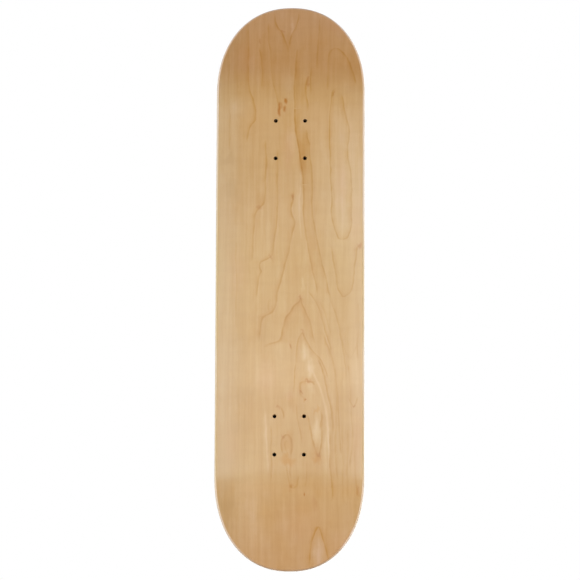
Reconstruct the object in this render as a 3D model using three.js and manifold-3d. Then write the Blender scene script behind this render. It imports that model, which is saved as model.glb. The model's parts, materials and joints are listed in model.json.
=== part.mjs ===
// A blank skateboard deck: seven maple veneers pressed and glued into one curved board, with a kicked
// nose and tail, a concave between the rails, rounded edges and two patterns of truck holes.
// Millimetres, +Z up, +X towards the nose. The origin lies on the flat of the underside, halfway
// between the two hole patterns, so the board stands on z = 0 as it does when it is ridden.
import * as THREE from "three";
import { mergeVertices } from "three/addons/utils/BufferGeometryUtils.js";
import Module from "manifold-3d";

const wasm = await Module();
wasm.setup();

// The plan of the board
const DECK_WIDTH = 209.55;
const NOSE_REACH = 183; // from the outer holes to the tip, along the face
const TAIL_REACH = 167;
const NOSE_ROUND_LENGTH = 138; // over which the outline rounds in to the tip
const TAIL_ROUND_LENGTH = 134;
const NOSE_ROUND_POWER = 2.14; // 2 is an ellipse, more is squarer
const TAIL_ROUND_POWER = 2.2;

// The truck holes, two by two at each end
const WHEELBASE = 368.3; // between the inner holes of the two patterns
const HOLE_PITCH_ALONG = 53.975;
const HOLE_PITCH_ACROSS = 41.275;
const HOLE_DIAMETER = 5.5;

// The press form: two kicks and a concave
const NOSE_BEND_START = 18; // past the outer holes
const NOSE_BEND_LENGTH = 58;
const NOSE_KICK_ANGLE = THREE.MathUtils.degToRad(18.7);
const TAIL_BEND_START = 6;
const TAIL_BEND_LENGTH = 58;
const TAIL_KICK_ANGLE = THREE.MathUtils.degToRad(19.5);
const CONCAVE_FLAT_WIDTH = 66; // the level strip between the two curved sides
const CONCAVE_RISE = 9.5; // of the rails above that strip
const TIP_CONCAVE_SHARE = 0.4; // of the concave that is left at the tips

// The layers and the edge
const FACE_VENEER = 1.5;
const CORE_VENEER = 1.5;
const CROSS_VENEER = 1.5;
const GLUE_LINE = 0.1;
const RAIL_RADIUS = 4.76; // rounds both edges of the rail

// How finely the curved faces are divided
const BEND_STEPS = 4;
const ROUND_STEPS = 8;
const CONCAVE_STEPS = 3;
const HOLE_SIDES = 8;
const RAIL_RING_SHARES = [0.16, 0.5]; // of a face veneer's thickness, from the outer face in
const DRILL_OVERRUN = 5;

const OUTER_HOLE = WHEELBASE / 2 + HOLE_PITCH_ALONG;
const INNER_HOLE = WHEELBASE / 2;

// One end of the board, as distances from the middle along the face
function boardEnd(direction, reach, roundLength, power, bendStart, bendLength, kick) {
  return {
    direction,
    tip: OUTER_HOLE + reach,
    roundStart: OUTER_HOLE + reach - roundLength,
    roundLength,
    power,
    bendStart: OUTER_HOLE + bendStart,
    bendLength,
    kick,
  };
}

const nose = boardEnd(
  1, NOSE_REACH, NOSE_ROUND_LENGTH, NOSE_ROUND_POWER,
  NOSE_BEND_START, NOSE_BEND_LENGTH, NOSE_KICK_ANGLE,
);
const tail = boardEnd(
  -1, TAIL_REACH, TAIL_ROUND_LENGTH, TAIL_ROUND_POWER,
  TAIL_BEND_START, TAIL_BEND_LENGTH, TAIL_KICK_ANGLE,
);

// The layers from the underside up, each with its grain along or across the board
const LAYERS = [
  { name: "bottom_face_veneer", thickness: FACE_VENEER, kind: "face" },
  { name: "glue_line_1", thickness: GLUE_LINE, kind: "glue" },
  { name: "lower_core_veneer", thickness: CORE_VENEER, kind: "long" },
  { name: "glue_line_2", thickness: GLUE_LINE, kind: "glue" },
  { name: "lower_cross_veneer", thickness: CROSS_VENEER, kind: "cross" },
  { name: "glue_line_3", thickness: GLUE_LINE, kind: "glue" },
  { name: "centre_core_veneer", thickness: CORE_VENEER, kind: "long" },
  { name: "glue_line_4", thickness: GLUE_LINE, kind: "glue" },
  { name: "upper_cross_veneer", thickness: CROSS_VENEER, kind: "cross" },
  { name: "glue_line_5", thickness: GLUE_LINE, kind: "glue" },
  { name: "upper_core_veneer", thickness: CORE_VENEER, kind: "long" },
  { name: "glue_line_6", thickness: GLUE_LINE, kind: "glue" },
  { name: "top_face_veneer", thickness: FACE_VENEER, kind: "face" },
];
const BOARD_THICKNESS = LAYERS.reduce((sum, layer) => sum + layer.thickness, 0);

// The rail leans in as the concave rises, so the flat blank is cut a little wider than the board ends up
const edgeRadius = Math.min(RAIL_RADIUS, BOARD_THICKNESS / 2);
const railSlope = Math.sin(Math.atan((4 * CONCAVE_RISE) / (DECK_WIDTH - CONCAVE_FLAT_WIDTH)));
const railLean = edgeRadius * (1 + railSlope - Math.hypot(1, railSlope));
const HALF_BLANK = DECK_WIDTH / 2 + railLean;
const HALF_FLAT = CONCAVE_FLAT_WIDTH / 2;

// The press form's centre line at a distance s from the middle: a flat, a round bend and a straight kick
function centreLine(end, s) {
  const radius = end.bendLength / end.kick;
  const angle = THREE.MathUtils.clamp((s - end.bendStart) / radius, 0, end.kick);
  const straight = Math.min(s, end.bendStart);
  const past = Math.max(s - end.bendStart - end.bendLength, 0);
  return {
    x: straight + radius * Math.sin(angle) + past * Math.cos(angle),
    z: radius * (1 - Math.cos(angle)) + past * Math.sin(angle),
    angle,
    curvature: angle > 0 && past === 0 ? 1 / radius : 0,
  };
}

// The concave's height at a distance t from the centre line, and its slope there
function concave(t) {
  const out = Math.max(Math.abs(t) - HALF_FLAT, 0);
  const span = HALF_BLANK - HALF_FLAT;
  return {
    rise: CONCAVE_RISE * (out / span) ** 2,
    slope: (Math.sign(t) * 2 * CONCAVE_RISE * out) / span ** 2,
  };
}

// How much of the concave is left at s: all of it between the bends, a share of it at the tip
function concaveLeft(end, s) {
  const length = end.tip - end.bendStart;
  const way = THREE.MathUtils.clamp((s - end.bendStart) / length, 0, 1);
  const lost = 1 - TIP_CONCAVE_SHARE;
  return {
    share: 1 - lost * way * way * (3 - 2 * way),
    slope: (-lost * 6 * way * (1 - way)) / length,
  };
}

// A point of the board: s along the face, t across it, and a height square to the pressed underside
function pressedPoint(end, s, t, height) {
  const line = centreLine(end, s);
  const curve = concave(t);
  const left = concaveLeft(end, s);
  const rise = curve.rise * left.share;
  const stretch = 1 - line.curvature * rise;
  const normal = new THREE.Vector3(
    -curve.rise * left.slope, -stretch * curve.slope * left.share, stretch,
  ).setLength(height);
  const along = normal.x;
  const up = rise + normal.z;
  const cos = Math.cos(line.angle);
  const sin = Math.sin(line.angle);
  return [
    end.direction * (line.x + along * cos - up * sin),
    t + normal.y,
    line.z + along * sin + up * cos,
  ];
}

// The outline's half width at s, and the direction that points out of it there
function outline(end, s) {
  const along = THREE.MathUtils.clamp((s - end.roundStart) / end.roundLength, 0, 1);
  const across = (1 - along ** end.power) ** (1 / end.power);
  const out = new THREE.Vector2(
    along ** (end.power - 1) / end.roundLength, across ** (end.power - 1) / HALF_BLANK,
  ).normalize();
  return { halfWidth: HALF_BLANK * across, out };
}

// The places of the cross lines along one end, from beside the tip to the start of the bend
function crossLines(end) {
  const places = [];
  for (let i = 1; i <= ROUND_STEPS; i += 1) {
    const angle = ((Math.PI / 2) * i) / (ROUND_STEPS + 1);
    places.push(end.roundStart + end.roundLength * Math.cos(angle) ** (2 / end.power));
  }
  for (let i = BEND_STEPS; i >= 0; i -= 1) {
    places.push(end.bendStart + (end.bendLength * i) / BEND_STEPS);
  }
  return places.sort((a, b) => b - a);
}

// How far the rounded edge is drawn in at a height of the board
function drawnIn(height) {
  const fromFace = Math.min(height, BOARD_THICKNESS - height);
  const rest = Math.max(edgeRadius - fromFace, 0);
  return edgeRadius - Math.sqrt(edgeRadius ** 2 - rest ** 2);
}

// The columns that a cross line's points stand on, from its left end to its right end
function columns(halfWidth) {
  const flat = Math.min(HALF_FLAT, (halfWidth * HALF_FLAT) / (HALF_BLANK / 2));
  const right = [];
  for (let i = 0; i <= CONCAVE_STEPS; i += 1) {
    right.push(flat + ((halfWidth - flat) * i) / CONCAVE_STEPS);
  }
  return [...right.map((t) => -t).reverse(), ...right];
}

// All the points of the board at one height: both tips and the cross lines from the nose to the tail
function levelAt(height) {
  const inset = drawnIn(height);
  const rowsOf = (end) => crossLines(end).map((s) => {
    const { halfWidth, out } = outline(end, s);
    const place = s - inset * out.x;
    return columns(halfWidth - inset * out.y).map((t) => pressedPoint(end, place, t, height));
  });
  return {
    noseTip: pressedPoint(nose, nose.tip - inset, 0, height),
    rows: [...rowsOf(nose), ...rowsOf(tail).reverse()],
    tailTip: pressedPoint(tail, tail.tip - inset, 0, height),
  };
}

// The points round the edge of a level, anticlockwise from above
function edgeOf(level) {
  const lefts = level.rows.map((row) => row[row.length - 1]);
  const rights = level.rows.map((row) => row[0]);
  return [level.noseTip, ...lefts, level.tailTip, ...rights.reverse()];
}

// The triangles that cover a level, facing up
function coverOf(level) {
  const { rows, noseTip, tailTip } = level;
  const triangles = [];
  const last = rows.length - 1;
  const cells = rows[0].length - 1;
  for (let j = 0; j < cells; j += 1) {
    triangles.push([noseTip, rows[0][j + 1], rows[0][j]]);
    triangles.push([tailTip, rows[last][j], rows[last][j + 1]]);
    for (let i = 0; i < last; i += 1) {
      const [a, b, c, d] = [rows[i][j], rows[i][j + 1], rows[i + 1][j + 1], rows[i + 1][j]];
      const halves = 2 * j < cells ? [[a, b, c], [a, c, d]] : [[a, b, d], [b, c, d]];
      triangles.push(...halves);
    }
  }
  return triangles;
}

// The band of triangles between two edges, the lower one first, facing out
function bandBetween(lower, upper) {
  return lower.flatMap((point, i) => {
    const next = (i + 1) % lower.length;
    return [
      [point, lower[next], upper[next]],
      [point, upper[next], upper[i]],
    ];
  });
}

// One layer of the board between two heights, before it is drilled
function pressedLayer(bottom, top, ringShares) {
  const heights = [bottom, ...ringShares.map((share) => bottom + (top - bottom) * share), top];
  const levels = heights.map(levelAt);
  const triangles = coverOf(levels[levels.length - 1]);
  triangles.push(...coverOf(levels[0]).map(([a, b, c]) => [a, c, b]));
  for (let i = 1; i < levels.length; i += 1) {
    triangles.push(...bandBetween(edgeOf(levels[i - 1]), edgeOf(levels[i])));
  }
  const geometry = new THREE.BufferGeometry();
  geometry.setAttribute("position", new THREE.Float32BufferAttribute(triangles.flat(2), 3));
  return mergeVertices(geometry);
}

// Where a face veneer's rounded edge has rings, as shares of its thickness from its lower face up
function ringSharesOf(kind, bottom) {
  if (kind !== "face") {
    return [];
  }
  return bottom > 0 ? RAIL_RING_SHARES.map((share) => 1 - share).reverse() : RAIL_RING_SHARES;
}

// A closed geometry as a solid, with only its points and triangles
function toSolid(geometry) {
  const bare = geometry.clone();
  bare.deleteAttribute("normal");
  bare.deleteAttribute("uv");
  const merged = mergeVertices(bare);
  return new wasm.Manifold(new wasm.Mesh({
    numProp: 3,
    vertProperties: merged.attributes.position.array,
    triVerts: Uint32Array.from(merged.index.array),
  }));
}

function toGeometry(solid) {
  const mesh = solid.getMesh();
  const geometry = new THREE.BufferGeometry();
  geometry.setAttribute("position", new THREE.Float32BufferAttribute(mesh.vertProperties, 3));
  geometry.setIndex(new THREE.BufferAttribute(mesh.triVerts, 1));
  geometry.computeVertexNormals();
  return geometry;
}

// The drill stands upright through the whole board at each of the eight places
function drillings() {
  const length = BOARD_THICKNESS + 2 * DRILL_OVERRUN;
  const drill = new THREE.CylinderGeometry(HOLE_DIAMETER / 2, HOLE_DIAMETER / 2, length, HOLE_SIDES);
  drill.rotateX(Math.PI / 2).rotateZ(Math.PI / HOLE_SIDES);
  const places = [nose, tail].flatMap((end) => [INNER_HOLE, OUTER_HOLE].flatMap((along) => (
    [1, -1].map((side) => [end.direction * along, (side * HOLE_PITCH_ACROSS) / 2])
  )));
  return places.map(([x, y]) => toSolid(drill.clone().translate(x, y, BOARD_THICKNESS / 2)));
}

const drills = drillings();

const LOOKS = {
  face: { color: 0xd3b083, roughness: 0.42, metalness: 0 },
  long: { color: 0xc9a071, roughness: 0.6, metalness: 0 },
  cross: { color: 0xb58a5c, roughness: 0.7, metalness: 0 },
  glue: { color: 0x7d5a36, roughness: 0.5, metalness: 0 },
};

const deck = new THREE.Group();
deck.name = "skateboard_deck";
let height = 0;
for (const { name, thickness, kind } of LAYERS) {
  let solid = toSolid(pressedLayer(height, height + thickness, ringSharesOf(kind, height)));
  for (const drill of drills) {
    solid = solid.subtract(drill);
  }
  const mesh = new THREE.Mesh(toGeometry(solid), new THREE.MeshStandardMaterial(LOOKS[kind]));
  mesh.name = name;
  deck.add(mesh);
  height += thickness;
}

export default deck;
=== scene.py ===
"""A blank seven-ply maple skateboard deck, seen from below, in clear satin lacquer.

Metres, +X to the nose, +Y across, +Z up; the deck stands on z = 0 and the main camera looks up at its
underside. The veneers and glue lines are pressed over one form, so one set of functions shapes them all.
"""
import json
import math

import bpy
import numpy as np
from mathutils import Matrix, Vector


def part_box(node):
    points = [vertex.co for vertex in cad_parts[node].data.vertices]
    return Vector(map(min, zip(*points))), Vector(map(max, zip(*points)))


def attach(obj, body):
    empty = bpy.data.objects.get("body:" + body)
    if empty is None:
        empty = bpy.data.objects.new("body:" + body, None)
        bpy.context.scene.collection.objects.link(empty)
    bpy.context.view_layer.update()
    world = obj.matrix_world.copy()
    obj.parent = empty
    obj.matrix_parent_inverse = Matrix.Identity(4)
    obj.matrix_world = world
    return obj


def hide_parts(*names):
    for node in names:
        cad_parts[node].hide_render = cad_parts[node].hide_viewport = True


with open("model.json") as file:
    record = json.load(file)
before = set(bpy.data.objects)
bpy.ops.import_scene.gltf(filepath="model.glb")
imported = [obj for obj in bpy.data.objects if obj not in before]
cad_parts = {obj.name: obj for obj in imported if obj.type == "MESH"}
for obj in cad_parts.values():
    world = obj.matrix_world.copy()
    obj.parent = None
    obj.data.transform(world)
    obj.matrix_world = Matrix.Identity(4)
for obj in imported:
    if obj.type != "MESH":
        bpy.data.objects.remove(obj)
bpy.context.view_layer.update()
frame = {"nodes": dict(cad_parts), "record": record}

MM = 0.001

# The plan and the holes, as the solids have them
DECK_WIDTH = 209.55 * MM
WHEELBASE = 368.3 * MM
HOLE_PITCH_ALONG = 53.975 * MM
HOLE_PITCH_ACROSS = 41.275 * MM
HOLE_RADIUS = 2.75 * MM
HOLE_BEVEL = 0.25 * MM
OUTER_HOLE = WHEELBASE / 2 + HOLE_PITCH_ALONG
INNER_HOLE = WHEELBASE / 2
HOLE_CELL = 6 * MM  # half the side of the square of faces round a hole

# The press form and the edge
CONCAVE_FLAT_WIDTH = 66 * MM
CONCAVE_RISE = 9.5 * MM
TIP_CONCAVE_SHARE = 0.4
RAIL_RADIUS = 4.76 * MM


class BoardEnd:
    """One end of the board, with its places as distances from the middle along the face."""

    def __init__(self, direction, reach, round_length, power, bend_start, bend_length, kick):
        self.direction = direction
        self.tip = OUTER_HOLE + reach
        self.round_start, self.round_length = self.tip - round_length, round_length
        self.power = power
        self.bend_start, self.bend_length = OUTER_HOLE + bend_start, bend_length
        self.kick = math.radians(kick)


NOSE = BoardEnd(1, 183 * MM, 138 * MM, 2.14, 18 * MM, 58 * MM, 18.7)
TAIL = BoardEnd(-1, 167 * MM, 134 * MM, 2.2, 6 * MM, 58 * MM, 19.5)

# The layers from the underside up, with the heights of their lower faces at the middle of the board
LAYERS = sorted(frame["nodes"], key=lambda node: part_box(node)[0][2])
LEVELS = [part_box(node)[0][2] for node in LAYERS]
LEVELS.append(LEVELS[-1] + LEVELS[1] - LEVELS[0])
THICKNESS = LEVELS[-1]

RAIL_SLOPE = math.sin(math.atan(4 * CONCAVE_RISE / (DECK_WIDTH - CONCAVE_FLAT_WIDTH)))
RAIL_LEAN = RAIL_RADIUS * (1 + RAIL_SLOPE - math.hypot(1, RAIL_SLOPE))
HALF_BLANK = DECK_WIDTH / 2 + RAIL_LEAN
HALF_FLAT = CONCAVE_FLAT_WIDTH / 2

ROOM_LIGHT = 0.1  # of the pale room on matt surfaces
LACQUER_IOR = 1.55
FIBRE_DEPTH = 0.05 * MM  # at a strength of 1

# How finely the faces are divided
ROUND_ROWS = 34
BEND_ROWS = 14
BETWEEN_HOLES_ROWS = 4
MIDDLE_ROWS = 12
CELL_STEPS = 6
INNER_COLUMN = 7 * MM  # from the squares round the holes to the next column inwards
RAIL_COLUMNS = 15
EDGE_STEPS = 11  # rings over each quarter of the rounded rail
RING_MARGIN = 0.04 * MM  # no ring lies nearer than this to a layer's own faces
BEVEL_STEPS = 3
HOLE_RING = 4.1 * MM  # a ring of points between a hole and its square
JOIN_DISTANCE = 0.0005 * MM


def pressed(end, s, t, height):
    """Points, upward normals and forward tangents at s along the face, t across it and a height above it."""
    s, t = np.broadcast_arrays(s, t)
    radius = end.bend_length / end.kick
    angle = np.clip((s - end.bend_start) / radius, 0, end.kick)
    cos, sin = np.cos(angle), np.sin(angle)
    past = np.maximum(s - end.bend_start - end.bend_length, 0)
    line_x = np.minimum(s, end.bend_start) + radius * sin + past * cos
    line_z = radius * (1 - cos) + past * sin
    curvature = np.where((angle > 0) & (past == 0), 1 / radius, 0)

    out = np.maximum(np.abs(t) - HALF_FLAT, 0)
    span = HALF_BLANK - HALF_FLAT
    way = np.clip((s - end.bend_start) / (end.tip - end.bend_start), 0, 1)
    lost = 1 - TIP_CONCAVE_SHARE
    left = 1 - lost * way * way * (3 - 2 * way)
    left_slope = -lost * 6 * way * (1 - way) / (end.tip - end.bend_start)
    full_rise = CONCAVE_RISE * (out / span) ** 2
    rise = full_rise * left
    slope = np.sign(t) * 2 * CONCAVE_RISE * out / span ** 2 * left
    stretch = 1 - curvature * rise

    normal = np.stack([-full_rise * left_slope, -stretch * slope, stretch], -1)
    normal /= np.linalg.norm(normal, axis=-1, keepdims=True)
    tangent = np.stack([stretch, np.zeros_like(s), full_rise * left_slope], -1)
    tangent /= np.linalg.norm(tangent, axis=-1, keepdims=True)

    def placed(vector):
        """A vector of the local frame, turned by the kick and pointed along this end."""
        x = vector[..., 0] * cos - vector[..., 2] * sin
        z = vector[..., 0] * sin + vector[..., 2] * cos
        return np.stack([end.direction * x, vector[..., 1], z], -1)

    local = normal * height + np.stack([np.zeros_like(s), t, rise], -1)
    base = np.stack([end.direction * line_x, np.zeros_like(s), line_z], -1)
    return base + placed(local), placed(normal), placed(tangent)


def outline(end, s):
    """The outline's half width at s, and the direction that points out of it there."""
    along = np.clip((s - end.round_start) / end.round_length, 0, 1)
    across = (1 - along ** end.power) ** (1 / end.power)
    out = np.stack([along ** (end.power - 1) / end.round_length, across ** (end.power - 1) / HALF_BLANK], -1)
    return HALF_BLANK * across, out / np.linalg.norm(out, axis=-1, keepdims=True)


def drawn_in(height):
    """How far the rounded edge is drawn in at a height of the board."""
    rest = max(RAIL_RADIUS - min(height, THICKNESS - height), 0)
    return RAIL_RADIUS - math.sqrt(RAIL_RADIUS ** 2 - rest ** 2)


def row_places(end):
    """Distances of the cross rows of one end from the middle, the farthest first."""
    turn = np.linspace(0, math.pi / 2, ROUND_ROWS + 1)[1:]
    rounded = end.round_start + end.round_length * np.cos(turn) ** (2 / end.power)
    bend_end = end.bend_start + end.bend_length
    cell = HOLE_CELL * np.linspace(-1, 1, CELL_STEPS + 1)
    places = np.concatenate([
        rounded[rounded > bend_end + MM],
        np.linspace(end.bend_start, bend_end, BEND_ROWS + 1),
        OUTER_HOLE + cell,
        np.linspace(INNER_HOLE + HOLE_CELL, OUTER_HOLE - HOLE_CELL, BETWEEN_HOLES_ROWS + 1),
        INNER_HOLE + cell,
        np.linspace(0, INNER_HOLE - HOLE_CELL, MIDDLE_ROWS + 1),
    ])
    return np.unique(np.round(places, 7))[::-1]


def column_places():
    """Distances of the lengthwise columns from the centre line where the board is widest, left to right."""
    hole = HOLE_PITCH_ACROSS / 2
    half = np.concatenate([
        [hole - HOLE_CELL - INNER_COLUMN],
        hole + HOLE_CELL * np.linspace(-1, 1, CELL_STEPS + 1),
        np.linspace(HALF_FLAT, HALF_BLANK, RAIL_COLUMNS + 1),
    ])
    return np.concatenate([-half[::-1], [0], half])


COLUMNS = column_places()
NOSE_ROWS, TAIL_ROWS = row_places(NOSE), row_places(TAIL)[:-1]
ROWS = len(NOSE_ROWS) + len(TAIL_ROWS)
WIDE = len(COLUMNS)


def grid_at(height):
    """A level's points, normals, directions out of the edge and board places, each for grid and tips.

    The grid's rows go from nose to tail. A board place is the distance along the face from the middle, the
    distance across it, and the height in the board.
    """
    inset = drawn_in(height)
    found = []
    for end, places in ((NOSE, NOSE_ROWS), (TAIL, TAIL_ROWS[::-1])):
        half, out = outline(end, places)
        share = half / HALF_BLANK
        edge = half - inset * out[:, 1]
        inner = share[:, None] * np.clip(np.abs(COLUMNS), 0, HALF_FLAT)
        beyond = np.clip(np.abs(COLUMNS) - HALF_FLAT, 0, None) / (HALF_BLANK - HALF_FLAT)
        t = np.sign(COLUMNS) * (inner + beyond * (edge - share * HALF_FLAT)[:, None])
        s = np.repeat((places - inset * out[:, 0])[:, None], WIDE, axis=1)
        points, normals, tangents = pressed(end, s, t, height)
        across = end.direction * np.cross(normals, tangents)
        outward = out[:, None, :1] * tangents + np.sign(COLUMNS)[None, :, None] * out[:, None, 1:] * across
        tip, tip_normal, tip_out = pressed(end, end.tip - inset, 0.0, height)
        board = np.stack([end.direction * s, t, np.full_like(s, height)], -1)
        tip_board = np.array([end.direction * (end.tip - inset), 0, height])
        found.append([(points, tip), (normals, tip_normal), (outward, tip_out), (board, tip_board)])
    return [(np.concatenate([nose[0], tail[0]]), np.stack([nose[1], tail[1]])) for nose, tail in zip(*found)]


def rim_normals(height, normals, outward):
    """The rounded rail's own normals at a height: down below, level in the middle and up above."""
    lean = max(1 - (THICKNESS - height) / RAIL_RADIUS, 0) - max(1 - height / RAIL_RADIUS, 0)
    return outward * math.sqrt(1 - lean ** 2) + normals * lean


def edge_loop(grid, tips):
    """The values round the edge of a level, anticlockwise from above."""
    return np.concatenate([tips[:1], grid[:, -1], tips[1:], grid[::-1, 0]])


def whole_level(grid, tips):
    """All the values of a level, in the order that its faces count them."""
    return np.concatenate([grid.reshape(-1, 3), tips])


HOLES = [(side * along, across * HOLE_PITCH_ACROSS / 2)
         for side in (1, -1) for along in (INNER_HOLE, OUTER_HOLE) for across in (1, -1)]
CELL_SIDES = 4 * CELL_STEPS
CIRCLE = np.linspace(0, 2 * math.pi, CELL_SIDES, endpoint=False)


def hole_cell(x, y):
    """A hole's first row and column in the grid, found from the places of the rows and columns."""
    rows = np.concatenate([NOSE_ROWS, -TAIL_ROWS[::-1]])
    row = int(np.argmin(np.abs(rows - (x + HOLE_CELL))))
    column = int(np.argmin(np.abs(COLUMNS - (y - HOLE_CELL))))
    return row, column


def cell_border(row, column):
    """Grid indices round a hole's square, anticlockwise from above, starting on its +X side."""
    n = CELL_STEPS
    walk = [(0, i) for i in range(n // 2, n)] + [(i, n) for i in range(n)]
    walk += [(n, n - i) for i in range(n)] + [(n - i, 0) for i in range(n)] + [(0, i) for i in range(n // 2)]
    return [(row + i) * WIDE + column + j for i, j in walk]


def cover_faces():
    """Faces of one level, facing up, as indices into its grid, its tips and then its hole rings."""
    in_cell = np.zeros((ROWS - 1, WIDE - 1), bool)
    cells = [hole_cell(x, y) for x, y in HOLES]
    for row, column in cells:
        in_cell[row:row + CELL_STEPS, column:column + CELL_STEPS] = True
    i, j = np.nonzero(~in_cell)
    a = i * WIDE + j
    faces = np.stack([a, a + 1, a + WIDE + 1, a + WIDE], -1).tolist()
    nose_tip, tail_tip = ROWS * WIDE, ROWS * WIDE + 1
    last = (ROWS - 1) * WIDE
    for j in range(WIDE - 1):
        faces.append([nose_tip, j + 1, j])
        faces.append([tail_tip, last + j, last + j + 1])
    ring = ROWS * WIDE + 2
    for row, column in cells:
        border = cell_border(row, column)
        for k in range(CELL_SIDES):
            after = (k + 1) % CELL_SIDES
            faces.append([ring + k, border[k], border[after], ring + after])
            faces.append([ring + CELL_SIDES + k, ring + k, ring + after, ring + CELL_SIDES + after])
        ring += 2 * CELL_SIDES
    return faces


COVER = cover_faces()
BOARD_PLACE = "board_place"  # the mesh attribute that the wood's grain follows


class MeshParts:
    """Collects points, their board places, faces and the corners' normals, and makes one mesh of them."""

    def __init__(self):
        self.points, self.places, self.faces, self.normals, self.count = [], [], [], [], 0

    def add(self, points, places, normals, faces, flip):
        """Adds points with their board places and normals, and faces of them."""
        for face in faces:
            face = face[::-1] if flip else face
            self.faces.append([self.count + i for i in face])
            self.normals.extend(normals[face].tolist())
        self.points.append(points)
        self.places.append(places)
        self.count += len(points)

    def add_band(self, loops, places, normals, inward=False):
        """Joins loops of points, each above the one before, by bands that face out, or in for a hole."""
        size = len(loops[0])
        quads = []
        for low in range(0, size * (len(loops) - 1), size):
            for i in range(size):
                after = (i + 1) % size
                quads.append([low + i, low + after, low + size + after, low + size + i])
        self.add(np.concatenate(loops), np.concatenate(places), np.concatenate(normals), quads, inward)

    def mesh(self, name):
        """One mesh, with doubled points joined and the normals kept."""
        points = np.concatenate(self.points)
        key = np.round(points / JOIN_DISTANCE).astype(np.int64)
        _, kept, where = np.unique(key, axis=0, return_index=True, return_inverse=True)
        where = where.reshape(-1)
        faces, normals, corner = [], [], 0
        for face in self.faces:
            joined = where[face].tolist()
            if len(set(joined)) == len(joined):
                faces.append(joined)
                normals.extend(self.normals[corner:corner + len(face)])
            corner += len(face)
        used = np.unique(np.concatenate(faces))
        new = np.full(len(kept), -1)
        new[used] = np.arange(len(used))
        kept = kept[used]
        mesh = bpy.data.meshes.new(name)
        mesh.from_pydata(points[kept].tolist(), [], [new[face].tolist() for face in faces])
        mesh.polygons.foreach_set("use_smooth", [True] * len(faces))
        board = mesh.attributes.new(BOARD_PLACE, "FLOAT_VECTOR", "POINT")
        board.data.foreach_set("vector", np.concatenate(self.places)[kept].astype(np.float32).ravel())
        mesh.normals_split_custom_set(normals)
        mesh.update()
        return mesh


def ring_heights(bottom, top):
    """Heights between two faces of a layer where the rounded rail has a ring."""
    turns = np.linspace(0, math.pi / 2, EDGE_STEPS + 1)[1:]
    quarter = RAIL_RADIUS * (1 - np.cos(turns))
    heights = np.concatenate([quarter, THICKNESS - quarter])
    return [bottom, *sorted(h for h in heights if bottom + RING_MARGIN < h < top - RING_MARGIN), top]


def hole_rings(height):
    """Heights, radii and normal tilts of a hole's wall at a level, with a round at the board's faces."""
    if 0 < height < THICKNESS:
        return [(height, HOLE_RADIUS, 0)]
    turns = np.linspace(0, math.pi / 2, BEVEL_STEPS + 1)
    rings = [(HOLE_BEVEL * (1 - math.cos(a)), HOLE_RADIUS + HOLE_BEVEL * (1 - math.sin(a)), -math.cos(a))
             for a in turns]
    if height == 0:
        return rings
    return [(THICKNESS - z, radius, -tilt) for z, radius, tilt in rings[::-1]]


def circle_points(x, y, z, radius):
    """Points of a level circle round a hole's axis."""
    return np.stack([x + radius * np.cos(CIRCLE), y + radius * np.sin(CIRCLE), np.full(CELL_SIDES, z)], -1)


def layer_mesh(name, bottom, top):
    """One veneer or glue line: two pressed faces, the rounded rail between them and the holes' walls."""
    parts = MeshParts()
    for height, up in ((bottom, False), (top, True)):
        points, normals, _, places = [whole_level(*values) for values in grid_at(height)]
        edge_radius = max(radius for _, radius, _ in hole_rings(height))
        rings = [circle_points(x, y, height, radius) for x, y in HOLES for radius in (HOLE_RING, edge_radius)]
        upward = np.tile([0.0, 0.0, 1.0], (len(rings) * CELL_SIDES, 1))
        outward = np.concatenate([normals, upward]) * (1 if up else -1)
        points, places = np.concatenate([points, *rings]), np.concatenate([places, *rings])
        parts.add(points, places, outward, COVER, flip=not up)
    rail = []
    for height in ring_heights(bottom, top):
        points, normals, outward, places = [edge_loop(*values) for values in grid_at(height)]
        rail.append((points, places, rim_normals(height, normals, outward)))
    parts.add_band(*zip(*rail))
    for x, y in HOLES:
        rings = hole_rings(bottom) + hole_rings(top)
        walls = [circle_points(x, y, z, radius) for z, radius, _ in rings]
        tilts = [circle_points(0, 0, tilt, -math.sqrt(1 - tilt ** 2)) for _, _, tilt in rings]
        parts.add_band(walls, walls, tilts, inward=True)
    return parts.mesh(name)


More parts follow.
